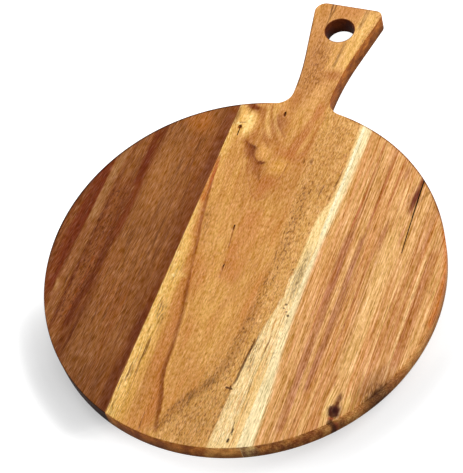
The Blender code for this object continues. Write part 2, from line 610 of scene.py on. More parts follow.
def finishWood(bench, grain, colour, wood):
    shade = layered(bench, grain, 1.0, wood["flecks"])
    fading = finish["fleckFading"]
    shaded = {"Saturation": 1 + fading - shade * fading, "Value": shade, "Color": colour}
    colour = bench.node("ShaderNodeHueSaturation", None, shaded)
    colour = bench.mix(colour, finish["poreTint"], grain["ticks"] * wood["tickAmount"], "MULTIPLY")
    colour = darkenHollows(bench, grain, colour, wood)
    # the sawn edges and rounded arrises are darker, most of all where they cut across the grain: partly the
    # end grain's own colour, partly painted shade, and painted shade darkens them further towards the floor
    patchy = bench.noise(grain["place"], finish["wallPatches"], detail=3.0, shift=6.4)
    patchy = bench.smooth(patchy, *finish["patchEdge"])
    sides = bench.mix(*wood["sideTints"], patchy)
    ends = bench.mix(*wood["endTints"], patchy)
    top, bottom, loss = finish["wallFootShade"]
    tint = bench.mix(sides, ends, grain["endness"])
    # painted shade: the walls go darker towards the floor
    tint = bench.mix(tint, black, bench.smooth(grain["deep"], top, bottom) * loss)
    colour = bench.mix(colour, tint, grain["wallness"], "MULTIPLY")
    # painted shade along the rounded rim
    colour = bench.mix(colour, wood["rimTint"], grain["rim"], "MULTIPLY")
    fibre = bench.noise(grain["straight"], finish["fibreSize"], detail=2.0, shift=5.3)
    height = {"Height": fibre * finish["fibreHeight"] - grain["ticks"]}
    height.update({"Strength": finish["bumpStrength"], "Distance": finish["bumpHeight"]})
    rougher = fibre * finish["roughnessSpread"] + grain["ticks"] * finish["tickRoughness"]
    surface = {
        "Base Color": colour,
        "Roughness": rougher + finish["roughness"],
        "Specular IOR Level": finish["specular"],
        "Normal": bench.node("ShaderNodeBump", None, height),
    }
    shader = bench.node("ShaderNodeBsdfPrincipled", None, surface)
    bench.node("ShaderNodeOutputMaterial", None, [shader])


def toneColour(bench, grain, tone, wood):
    stops = [(place, srgb(*colour)) for place, colour in wood["tones"]]
    colour = bench.node("ShaderNodeValToRGB", {"stops": stops}, [tone])
    for step, (paint, amount, space, size) in enumerate(wood["blushes"]):
        mask = bench.noise(grain[space], size, detail=2.0, shift=1.3 + step * 5.9)
        mask = bench.smooth(mask, *finish["blushEdge"])
        colour = bench.mix(colour, srgb(*paint), mask * amount)
    return colour


def bandTone(bench, grain, wood):
    return bench.curve(grain["ring"], wood["bands"])


def staveMaterial(name, wood, baseTone=bandTone, lastly=None):
    material, bench = newMaterial(name)
    grain = grainSpace(bench, wood)
    tone = layered(bench, grain, baseTone(bench, grain, wood), wood["layers"])
    colour = paintMarks(bench, grain, toneColour(bench, grain, tone, wood), wood)
    if lastly:
        colour = lastly(bench, grain, colour, wood)
    finishWood(bench, grain, colour, wood)
    return material


# Left stave: dark red-brown, straight grained

leftWood = {
    "lean": 0.55,
    "bow": 0.012,
    "rise": 0.0,
    "wander": 0.6,
    "wanderSize": (50, 140, 50),
    "ragged": 0.6,
    "slant": -0.12,
    "shift": 0.0,
    "tickSize": (0.8, 5.0, 0.8),
    "tickEdge": (0.1, 0.45),
    "tickAmount": 0.4,
    # the edge tints hold painted shade as well as the edges' own darker colour
    "sideTints": [(0.3, 0.2, 0.14, 1.0), (0.45, 0.32, 0.24, 1.0)],
    "endTints": [(0.1, 0.09, 0.09, 1.0), (0.2, 0.16, 0.13, 1.0)],
    "rimTint": (0.22, 0.14, 0.1, 1.0),
    "rimFrom": (-60.0, 0.0),
    "tones": [
        (0.00, (52, 18, 5)),
        (0.25, (108, 50, 18)),
        (0.50, (142, 86, 43)),
        (0.75, (168, 110, 60)),
        (1.00, (206, 158, 98)),
    ],
    # across the grain: place, tone
    "bands": [
        (-153, 0.44), (-147, 0.36), (-143, 0.34), (-138, 0.28), (-134.5, 0.34), (-132.5, 0.56), (-129, 0.56),
        (-126, 0.48), (-124, 0.36), (-121, 0.54), (-116, 0.5), (-112, 0.36), (-107, 0.3), (-103, 0.48),
        (-98, 0.56), (-88, 0.58), (-78, 0.55), (-70, 0.50), (-62, 0.44), (-57, 0.36), (-54, 0.30),
    ],
    "layers": [
        # space, wave lengths across, along and down, detail, amount
        ("straight", (2.2, 300, 30), 3.0, 0.2),
        ("straight", (1.0, 70, 10), 2.0, 0.16),
        ("slanted", (3, 16, 5), 2.0, 0.1),
        ("place", (24, 60, 20), 1.0, 0.1),
    ],
    "flecks": [
        ("slanted", (0.65, 7.0, 1.2), 2.0, 0.95),
        ("slanted", (1.8, 26.0, 3.0), 1.0, 0.16),
    ],
    "blushes": [
        # colour, amount, space, wave lengths
        ((158, 86, 34), 0.3, "straight", (9, 70, 12)),
        ((116, 62, 28), 0.4, "straight", (7, 80, 12)),
    ],
    "streaks": [
        # colour, amount, half width, softness, texture unless solid, (y, x) points
        ((112, 42, 12), 0.8, 3.6, (4, 1.4),
         [(75, -138.5), (40, -138), (0, -139.5), (-30, -140.5), (-62, -139)]),
        ((92, 36, 12), 0.6, 0.7, 1, "dashes", [(62, -137), (20, -138), (-40, -139.5)]),
        ((140, 72, 30), 0.6, 0.9, 1, "dashes", [(45, -143.5), (0, -144.5), (-45, -144)]),
        ((162, 112, 66), 0.7, 1.4, (1.6, 4), [(88, -128.5), (60, -130.5), (40, -131.5), (5, -132)]),
        ((148, 90, 50), 0.6, 1.8, (2.0, 3), [(15, -131.5), (-20, -132), (-50, -133), (-75, -129)]),
        ((150, 92, 52), 0.6, 1.4, (1.4, 1.6), "threads", [(70, -121.5), (30, -121.5), (-10, -121)]),
        ((88, 36, 12), 0.75, 0.4, 0.8, "threads", [(60, -127.6), (10, -128), (-60, -128.4)]),
        ((92, 40, 14), 0.7, 0.4, 0.7, "threads", [(48, -113), (0, -113.5), (-40, -114.6)]),
        ((190, 138, 84), 0.6, 0.6, 0.8, "threads", [(75, -131), (30, -131.5), (0, -132)]),
        ((176, 122, 72), 0.5, 0.6, 0.8, "threads", [(50, -127.5), (-10, -128), (-50, -130)]),
        ((178, 126, 72), 0.6, 1.0, 1, [(-44, -134.5), (-58, -133)]),
        ((126, 60, 24), 0.4, 5.0, 4, [(60, -118), (0, -117.5), (-50, -119), (-95, -118)]),
        ((80, 34, 12), 0.75, 6.0, 3, "pores", [(50, -117.5), (0, -117.5), (-50, -118.5), (-85, -118)]),
        ((104, 40, 14), 0.9, 1.5, (1.2, 4), [(108, -110), (90, -110), (70, -109.6), (45, -109)]),
        ((120, 54, 20), 0.75, 1.6, 2, [(60, -107.5), (40, -106), (15, -106), (-5, -107.8)]),
        ((98, 42, 16), 0.8, 1.5, 2, [(8, -108.5), (-25, -108.5), (-50, -110), (-70, -112.5), (-90, -113)]),
        ((88, 36, 12), 0.8, 0.5, (0.8, 1), "dashes", [(50, -124), (0, -124.3), (-40, -124.3), (-85, -123)]),
        ((90, 38, 14), 0.75, 0.6, (0.9, 1), [(-60, -104.5), (-85, -105), (-112, -106)]),
        ((150, 74, 26), 0.5, 0.8, 1, "dashes", [(10, -114), (-50, -115.5), (-80, -116)]),
        ((92, 50, 24), 0.7, 0.4, 0.7, "dashes", [(25, -74), (-20, -74.5), (-70, -76)]),
        ((96, 48, 20), 0.7, 0.4, 0.7, "dashes", [(-45, -93.5), (-78, -94.5)]),
        ((98, 52, 24), 0.6, 0.4, 0.7, "dashes", [(-30, -84), (-100, -87)]),
        ((100, 54, 26), 0.5, 0.5, 0.8, "dashes", [(60, -66), (-10, -67)]),
        ((110, 56, 32), 0.5, 2.2, (3, 1), [(140, -57.5), (100, -57.5), (60, -58)]),
        ((92, 38, 18), 0.7, 2.6, (3.5, 0.5), [(-50, -57), (-100, -58), (-150, -58)]),
        ((182, 124, 70), 0.55, 0.5, 0.8, "dashes", [(95, -91), (50, -91)]),
        ((182, 124, 70), 0.55, 0.5, 0.8, "dashes", [(80, -98), (35, -98)]),
        ((176, 116, 64), 0.5, 0.6, 0.8, "dashes", [(-20, -97), (-70, -99)]),
        ((176, 116, 64), 0.5, 0.6, 0.8, "dashes", [(10, -78), (-40, -79)]),
        ((178, 118, 66), 0.5, 0.6, 0.8, "dashes", [(60, -84), (0, -86), (-60, -88)]),
    ],
    "zones": [
        # colour, amount, side, softness, texture unless solid, (y, x) points of the border
        ((186, 128, 72), 0.5, -1, 10, "scratches", [(150, -62), (-150, -62)]),
        ((90, 44, 18), 0.5, -1, 10, "threads", [(150, -62), (-150, -62)]),
    ],
    "patches": [
        # colour, amount, centre, half sizes, turn, softness, texture unless solid
        ((182, 108, 44), 0.5, (-82, 122), (16, 10), -35, 0.6),
        ((178, 116, 58), 0.4, (-92, 60), (9, 34), 0, 0.8),
        ((108, 60, 28), 0.4, (-90, -130), (45, 30), 0, 0.7),
    ],
}


# Centre stave: golden and flat-sawn, with a cathedral, a knot swirl and pale sapwood

leftArm = [
    (98, -53), (87, -52), (60, -49), (30, -44.6), (20, -42.4), (-3, -38.2), (-25, -34.4), (-48, -29),
    (-77, -25.4), (-99, -23.8), (-122, -17.4), (-139, -13.6), (-152, -10.5),
]
rightArm = [
    (90, 25), (-3, 24), (-25, 23), (-48, 21.8), (-82, 18.4), (-99, 12.7), (-113, 3.6), (-121, -2),
    (-139, -10), (-152, -14),
]
speckled = [
    (150, 17), (100, 16), (60, 18), (0, 24), (-40, 22), (-80, 17), (-100, 11), (-120, -1), (-150, -11),
]
sapwood = [(10, 49), (-28, 47), (-53, 42.5), (-88, 39), (-150, 37)]

centreWood = {
    "lean": 0.3,
    "bow": 0.0,
    "rise": 5.0,
    "wander": 0.6,
    "wanderSize": (45, 120, 45),
    "ragged": 0.7,
    "slant": -0.05,
    "shift": 11.0,
    "bulges": [(-41, 132, 13, 20, 0.6), (-22, 100, 9, 14, 0.4), (-16.5, 141, 5, 9, 0.5)],
    "tickSize": (0.75, 3.4, 0.75),
    "tickEdge": (0.14, 0.45),
    "tickAmount": 0.42,
    # painted shade inside the bored hole
    "holeColour": (122, 68, 34),
    "holeEdge": (12.9, 12.3),
    # the edge tints hold painted shade as well as the edges' own darker colour
    "sideTints": [(0.36, 0.18, 0.09, 1.0), (0.76, 0.47, 0.24, 1.0)],
    "endTints": [(0.5, 0.26, 0.13, 1.0), (1.0, 0.66, 0.38, 1.0)],
    "rimTint": (0.42, 0.28, 0.2, 1.0),
    "rimFrom": (0.0, 100.0),
    # height of one growth line of the cathedral over its tip, across the stave
    "nest": [
        (-55, 250), (-52, 227), (-45, 170), (-39, 137), (-31, 92), (-24.8, 41), (-18, 18), (-12, 0), (-2, 19),
        (3.6, 27), (12.7, 41), (18.4, 62), (21.8, 92), (25, 140), (35, 240), (55, 400),
    ],
    "nestWaves": (13, 400, 60),
    "nestAmount": 0.22,
    "fineNestWaves": (4.5, 60, 60),
    "fineNestAmount": 0.2,
    # the fine lines come in and go out along the stave
    "knotty": [(50.0, 100.0), (175.0, 145.0)],
    "tones": [
        (0.00, (88, 42, 16)),
        (0.25, (164, 100, 46)),
        (0.50, (208, 147, 79)),
        (0.75, (228, 176, 102)),
        (1.00, (250, 222, 160)),
    ],
    "layers": [
        ("straight", (1.6, 60, 10), 2.0, 0.1),
        ("straight", (5, 34, 8), 2.0, 0.08),
        ("place", (30, 60, 20), 1.0, 0.05),
    ],
    "flecks": [
        ("slanted", (0.8, 3.2, 1.0), 2.0, 0.6),
        ("straight", (1.3, 14.0, 1.5), 1.0, 0.3),
    ],
    "blushes": [
        ((202, 124, 62), 0.45, "straight", (8, 42, 10)),
        ((232, 178, 94), 0.4, "straight", (11, 60, 14)),
    ],
    "washes": [
        ((176, 112, 56), 0.3, (8, 96), (36, 40), 0, 0.7),
        ((206, 148, 88), 0.6, (0, 205), (30, 55), 0, 0.3),
        ((202, 134, 80), 0.55, (0, 253), (15, 9), 0, 0.7),
        ((194, 132, 76), 0.55, (-13, 210), (7, 38), 3, 0.7),
        ((188, 126, 72), 0.55, (-5, 182), (11, 24), 0, 0.7),
    ],
    "zones": [
        # colour, amount, side, softness, texture unless solid, (y, x) points of the border
        ((238, 184, 96), 0.9, -1, 5.5, [(20, -50), (0, -43), (-40, -41.5), (-60, -40.5), (-150, -41.5)]),
        ((184, 120, 52), 0.55, -1, 4.0, "threads",
         [(10, -50), (-10, -43), (-40, -41.5), (-60, -40.5), (-150, -41.5)]),
        ((254, 216, 138), 0.65, -1, 4.0, "dashes", [(10, -50), (-10, -46), (-40, -45), (-150, -46)]),
        ((214, 158, 90), 0.5, 1, 3.0, speckled),
        ((238, 188, 114), 0.5, 1, 3.0, "dashes", speckled),
        ((136, 84, 40), 0.55, 1, 3.0, "pores", speckled),
        ((252, 216, 149), 0.95, 1, 1.3,
         [(150, 47.5), (100, 48), (75, 47.5), (62, 44.4), (50, 42), (0, 41.2), (-20, 40.4), (-30, 38.8),
          (-39, 36.8), (-53, 34.3), (-71, 32.6), (-88, 30.9), (-105, 29.8), (-128, 29.2), (-150, 28.6)]),
    ],
    "streaks": [
        ((210, 150, 84), 0.5, 8.0, 1.5, "threads", sapwood),
        ((255, 234, 184), 0.55, 8.0, 1.5, "dashes", sapwood),
        ((236, 186, 106), 0.55, 3.0, 2, [(-70, 46), (-110, 46), (-150, 46)]),
        ((120, 74, 34), 0.8, 8.0, 1.5, "fibres", sapwood),
        ((186, 142, 84), 0.6, 0.25, 0.5, [(60, 49.8), (20, 50), (-25, 49.6)]),
        ((190, 118, 58), 0.6, 4.0, (5, 3), [(5, -39), (-40, -34), (-80, -31), (-120, -25.5), (-150, -19)]),
        ((238, 184, 100), 0.6, 0.7, 0.8, "threads", [(-50, -39), (-100, -38.5), (-148, -36)]),
        ((184, 108, 52), 0.7, 0.4, (8, 1.6), leftArm),
        ((142, 78, 32), 0.8, 0.3, (2.4, 1.0), leftArm),
        ((134, 74, 28), 0.7, 0.8, (3.4, 1.2), leftArm[6:]),
        ((230, 170, 92), 0.4, 0.8, (1, 2.5),
         [(-30, -31.6), (-48, -28), (-77, -24), (-99, -21.8), (-122, -15)]),
        ((176, 112, 58), 0.3, 2.0, (3, 6), rightArm),
        ((164, 106, 54), 0.36, 2.0, (3, 5), rightArm[2:]),
        ((108, 70, 38), 0.75, 2.0, (3, 6), "pores", rightArm),
        ((196, 122, 66), 0.55, 6.0, (4, 5), [(55, -7), (30, -5), (10, -5.5), (-22, -10)]),
        ((252, 232, 182), 0.9, 1.3, (0.8, 1.5), [(170, 52), (40, 51.8), (0, 51.2), (-170, 50.8)]),
        ((255, 247, 205), 0.8, 1.6, (1.2, 1.5), [(150, 51.6), (80, 51.7), (30, 51.6)]),
        ((253, 230, 178), 0.7, 1.6, (1.5, 1), "threads", [(40, 47.5), (-60, 47.5), (-150, 47)]),
        ((232, 168, 92), 0.55, 2.2, 2, "threads", [(-20, 43.5), (-80, 44), (-150, 45)]),
        ((206, 142, 76), 0.8, 0.5, 0.7, "threads", [(0, 45.5), (-60, 45.5), (-150, 44.5)]),
        ((206, 142, 76), 0.8, 0.5, 0.7, "threads", [(-20, 41.5), (-90, 39.5), (-150, 38)]),
        ((206, 140, 74), 0.75, 0.5, 0.7, "threads", [(-60, 36.5), (-110, 35), (-150, 34.5)]),
        ((126, 78, 38), 0.95, 0.45, 0.5, "threads", [(-40, 43), (-100, 42), (-148, 41.4)]),
        ((130, 82, 40), 0.9, 0.4, 0.5, "threads", [(-55, 38.4), (-105, 36.4)]),
        ((150, 104, 58), 0.7, 0.3, 0.5, "threads", [(-30, 49.8), (-80, 49.6)]),
        ((250, 206, 122), 0.7, 0.9, 0.9, "threads", [(-20, -51), (-90, -50.6), (-150, -50.8)]),
        ((226, 160, 78), 0.6, 1.2, 1, "threads", [(-20, -47), (-90, -46), (-150, -47)]),
        ((112, 68, 30), 0.95, 0.45, 0.5, "threads", [(-60, -50.8), (-110, -49.6), (-148, -49.9)]),
        ((116, 72, 32), 0.9, 0.45, 0.5, "threads", [(-40, -47.5), (-100, -48)]),
        ((120, 78, 38), 0.9, 0.5, 0.5, "threads", [(-40, -44.5), (-105, -45.4)]),
        ((130, 86, 44), 0.85, 0.45, 0.5, "threads", [(-50, -43.4), (-148, -44.2)]),
        ((150, 100, 52), 0.6, 0.4, 0.6, "threads", [(-45, -42), (-80, -41.5)]),
        ((84, 44, 16), 0.75, 0.3, (0.6, 0.9),
         [(-56, 33.2), (-62, 32.3), (-75, 31), (-92, 30.2), (-102, 28.7)]),
        ((70, 34, 10), 0.95, 0.6, (0.6, 1.2), "dashes",
         [(-50, 34), (-62, 32.3), (-75, 31), (-92, 30.2), (-104, 28.4)]),
        ((84, 46, 16), 0.9, 0.45, (0.6, 0.8), "dashes", [(-98, 28.6), (-148, 27.6)]),
        ((112, 74, 38), 0.7, 1.0, (1.0, 1.6), "pores", [(-50, 36.4), (-70, 35.4), (-92, 33)]),
        ((92, 52, 18), 0.9, 5.0, (1, 2), "fibres", [(12, -52), (-40, -48.5), (-150, -48.5)]),
        # painted shade: a dark line along the handle's left edge stands in for its shaded lower arris
        ((76, 42, 16), 0.7, 0.3, 0.8,
         [(164, -15.6), (175, -16), (188, -17.1), (201, -18.9), (225, -23), (248, -27)]),
        ((96, 56, 26), 0.8, 0.3, 0.5, [(103, 47.4), (92, 46.8), (80, 45.6)]),
        ((110, 66, 30), 0.7, 0.3, 0.5, "dashes", [(84, 46), (66, 45.2)]),
        ((104, 62, 28), 0.8, 0.35, 0.5, "dashes", [(90, 38.4), (76, 37.2), (62, 36)]),
        ((116, 72, 34), 0.7, 0.35, 0.5, "dashes", [(96, 33.6), (70, 32.4)]),
        ((112, 70, 34), 0.7, 0.3, 0.5, "dashes", [(100, 41.8), (72, 40.6)]),
        ((188, 92, 40), 0.75, 1.4, (1.0, 1.6), [(94, -53), (75, -52.4), (55, -51.8), (42, -50.5)]),
        ((188, 114, 60), 0.72, 2.8, (2.5, 2.0), [(95, -1), (110, 3), (130, 7.5), (150, 11), (163, 12)]),
        ((184, 112, 58), 0.6, 0.9, 1.2, [(98, 10.5), (120, 14), (135, 14.5), (152, 17.5)]),
        ((234, 176, 102), 0.45, 1.0, 1.4, [(100, 5.8), (125, 10.8), (150, 15)]),
        ((240, 188, 110), 0.85, 4.2, 3, [(258, 20.5), (240, 18), (220, 15), (205, 13.2), (188, 10.5)]),
        ((226, 168, 96), 0.75, 2.4, 1.6, [(224, 4.6), (205, 4.2), (186, 3)]),
        ((150, 104, 60), 0.75, 0.5, (1.4, 1.6), [(224, 8.8), (212, 8.4), (200, 7.6), (190, 6.6)]),
        ((156, 110, 64), 0.75, 0.8, (1.4, 1.8), [(262, 16.6), (245, 15.8), (232, 14.2)]),
        ((92, 52, 24), 0.75, 0.35, (0.7, 0.6), [(264, -14.2), (250, -13.2), (240, -12.2), (230, -12.2)]),
        ((96, 56, 26), 0.7, 0.3, 0.6, [(264, -10.6), (250, -11.2), (240, -11.8)]),
        ((120, 72, 38), 0.7, 0.5, 0.8, "dashes", [(228, -12.8), (206, -11.5)]),
        ((228, 168, 100), 0.6, 3.0, 3, [(180, 5), (165, 3), (148, 1)]),
        ((170, 108, 58), 0.5, 1.6, (1.5, 2), [(178, 13.6), (166, 13.8), (152, 15)]),
    ],
    "patches": [
        ((178, 114, 58), 0.18, (14, 98), (34, 38), 0, 0.7),
        ((128, 76, 38), 0.75, (-6, 188), (9, 26), 0, 0.7, "pores"),
        ((140, 84, 42), 0.55, (-8, 208), (7, 12), 0, 0.7, "dashes"),
        ((140, 92, 46), 0.6, (-40.5, 28), (2.6, 15), 12, 0.8, "dashes"),
        ((150, 92, 46), 0.55, (14, -124), (14, 26), 0, 0.7, "dashes"),
        ((108, 62, 28), 0.45, (16, -108), (15, 40), 0, 0.7, "pores"),
        ((238, 188, 110), 0.35, (18, -104), (13, 36), 0, 0.7, "dashes"),
        ((170, 102, 52), 0.65, (10, 186), (6, 4), 0, 0.7),
        ((182, 112, 58), 0.6, (-12, 157), (4, 8), 0, 0.8),
        ((172, 104, 50), 0.7, (-35, 116), (6, 9), 15, 0.8),
        ((176, 110, 56), 0.6, (-34, 136), (3.5, 11), -6, 0.8),
        ((238, 184, 100), 0.9, (-43, 128), (8, 13), 6, 0.6),
        ((254, 214, 136), 0.85, (-41.5, 127), (3.6, 9), 6, 0.9),
        # painted highlight: a pale spot above the knot's pit
        ((255, 226, 160), 0.8, (-49, 124.8), (1.6, 1.2), 0, 0.8),
        ((150, 84, 38), 0.7, (-41, 141), (7, 3.4), -12, 0.8),
        ((120, 52, 20), 0.9, (-42.4, 143), (5.4, 2.6), -14, 0.5),
        ((120, 64, 28), 0.7, (-53, 132), (2.2, 8), 0, 0.8),
        ((168, 104, 62), 0.75, (-17, 132), (6, 9), 12, 0.8),
        ((176, 106, 58), 0.55, (-20, 115), (7, 6), 0, 0.8),
        ((188, 112, 56), 0.5, (0, 104), (9, 5), -15, 0.8),
        ((234, 172, 90), 0.6, (-2, 92), (7, 7), 0, 0.8),
        ((158, 90, 44), 0.8, (-20, 87), (6, 9), 26, 0.8),
        ((182, 110, 54), 0.8, (-8, 75), (9, 7), 0, 0.6),
        ((184, 112, 56), 0.65, (-9.5, 66), (4.6, 6), 0, 0.7),
        ((232, 170, 92), 0.6, (-21, 102), (4.4, 7), 12, 0.9),
        ((160, 92, 44), 0.7, (-31, 99), (2.6, 8), 28, 0.8),
        ((150, 84, 42), 0.6, (-30, 101.5), (5, 6.5), 20, 0.8),
        ((84, 36, 14), 0.95, (-30.5, 105.2), (3.8, 1.8), -16, 0.7),
        ((104, 48, 20), 0.85, (-28.8, 101), (2.0, 4.2), 12, 0.8),
        ((88, 38, 16), 0.95, (-18.4, 92), (3.0, 1.4), 14, 0.7),
        ((140, 84, 44), 0.6, (-15.5, 79), (1.2, 3.5), 25, 0.8),
        ((110, 82, 56), 0.6, (1, -117), (3.5, 6), -42, 0.7, "dashes"),
        ((100, 70, 44), 0.75, (12.5, -101), (2.8, 5), -30, 0.7, "dashes"),
        ((140, 94, 50), 0.6, (8, -107), (3.0, 12), -36, 0.7, "dashes"),
        ((150, 96, 50), 0.6, (18.5, -80), (3, 15), -12, 0.7, "dashes"),
        ((148, 106, 58), 0.75, (-44.5, -56), (3.2, 9), 0, 0.6, "dashes"),
        ((186, 156, 106), 0.55, (46.2, 3), (2.6, 20), 0, 0.7),
        ((144, 114, 74), 0.8, (46.2, 2), (2.8, 20), 0, 0.6, "dashes"),
        ((120, 92, 52), 0.6, (36.5, -79), (1.8, 6), 0, 0.7, "dashes"),
        ((255, 228, 166), 0.8, (-48, -21.5), (1.4, 1.1), 0, 0.6),
        ((246, 198, 120), 0.5, (-44, -20), (5, 2), 0, 0.8),
        ((70, 40, 16), 0.85, (44.6, -25), (0.9, 0.9), 0, 0.6),
        ((80, 48, 20), 0.8, (44, -28.4), (0.9, 0.7), 0, 0.6),
        ((80, 48, 20), 0.8, (46.8, -31.2), (0.8, 0.7), -40, 0.6),
        ((60, 32, 12), 0.9, (49, -34), (1.1, 0.9), -40, 0.6),
        ((120, 84, 44), 0.7, (39.4, 5), (0.8, 1.1), 0, 0.6),
        ((118, 72, 36), 0.7, (20.5, 102), (1.2, 2.4), 10, 0.7),
        ((120, 74, 36), 0.7, (14.5, 101), (0.8, 2.2), 5, 0.7),
        ((116, 70, 32), 0.7, (36.5, 77), (0.8, 2.6), 0, 0.7),
    ],
    "strokes": [
        # colour, amount, half width, softness, texture unless solid, (x, y) points
        ((150, 84, 38), 0.55, 0.5, 3.2,
         [(-37.5, 109.5), (-34, 106), (-30, 102), (-28.5, 97), (-24.5, 92.5), (-20, 90)]),
        ((130, 68, 30), 0.7, 0.3, 1.0,
         [(-36.5, 109), (-33, 106.5), (-29, 104), (-27.5, 98.5), (-23.5, 94), (-20, 91.8), (-16.4, 93)]),
        ((162, 98, 48), 0.38, 0.5, 1.6, [(-34, 144), (-31.5, 134), (-28, 123), (-23, 114), (-17, 108)]),
        ((238, 190, 116), 0.35, 0.5, 1.6, [(-31, 146), (-28.5, 135), (-24.5, 125), (-20, 117)]),
        ((166, 102, 54), 0.38, 0.5, 1.6,
         [(-28.5, 146), (-25.5, 137), (-21.5, 127), (-16, 118), (-11, 112)]),
        ((234, 184, 110), 0.3, 0.5, 1.6, [(-25.5, 144), (-22.5, 136), (-18.5, 128), (-13, 121)]),
        ((160, 98, 54), 0.45, 0.4, 1.0, [(-21, 139), (-17, 130), (-12, 124), (-8, 120)]),
        ((160, 96, 46), 0.55, 0.3, 0.8, [(3, 96), (2.5, 88), (1, 80)]),
        ((176, 108, 56), 0.5, 0.4, 1.2, [(-28, 88), (-22, 74), (-15, 62), (-9, 58), (-3, 62), (2, 72)]),
        ((120, 70, 34), 0.6, 0.3, 0.6, [(-48, 125.8), (-44.2, 126.8)]),
        ((150, 84, 44), 0.65, 0.2, 0.6, [(-17.5, 30), (-15.4, 12)]),
        ((156, 92, 48), 0.6, 0.2, 0.6, [(-13.3, 1), (-12.6, -15)]),
        ((74, 40, 18), 0.9, 0.5, 0.5, [(25.4, -101.4), (29.6, -101.7)]),
        ((52, 24, 8), 0.9, 0.45, 0.5, "dashes", [(41.4, -124), (42.4, -136)]),
        ((48, 22, 8), 0.9, 0.6, 0.5, [(41.7, -140.2), (41.5, -142)]),
        ((110, 66, 30), 0.7, 0.3, 0.5, "dashes", [(-25, -136), (-24.6, -149)]),
    ],
    "pits": [
        # place, half sizes, depth, turn
        ((-46.8, 121.5), (1.6, 1.8), 2.2, 0),
        ((-15.6, 141), (0.9, 2.4), 1.8, 8),
        ((-17.6, 30.3), (0.65, 2.4), 0.9, 4),
        ((-13.2, -5.5), (0.5, 2.4), 0.7, 2),
        ((28.5, -101), (0.45, 2.2), 0.7, 6),
    ],
    "cracks": [
        # (x, y) points, width, depth
        ([(-46.4, 120), (-46.1, 113.5)], 0.6, 1.2),
    ],
}


def cathedralTone(bench, grain, wood):
    nested = grain["v"] - bench.curve(grain["ring"], wood["nest"])
    rings = bench.join(nested, grain["v"], grain["deep"])
    tone = bench.noise(rings, wood["nestWaves"], detail=3.0, shift=2.0) * wood["nestAmount"] + 0.5
    start, end = wood["knotty"]
    knotty = bench.smooth(grain["v"], *start) * bench.smooth(grain["v"], *end)
    fine = bench.noise(rings, wood["fineNestWaves"], detail=2.0, shift=5.0) * wood["fineNestAmount"]
    return tone + fine * knotty


def paintHoleShade(bench, grain, colour, wood):
    # painted shade: the bored hole is painted darker inside
    holeX = outline["holeX"] * figure["scale"][0] + figure["shift"][0]
    holeY = (handleEnd - outline["holeToEnd"]) * figure["scale"][1] + figure["shift"][1]
    across, along = grain["x"] - holeX, grain["y"] - holeY
    inHole = bench.smooth((across * across + along * along) ** 0.5, *wood["holeEdge"])
    return bench.mix(colour, srgb(*wood["holeColour"]), inHole)


# Right stave: orange-brown with straight stripes, cream along the joint, a knot and a crack

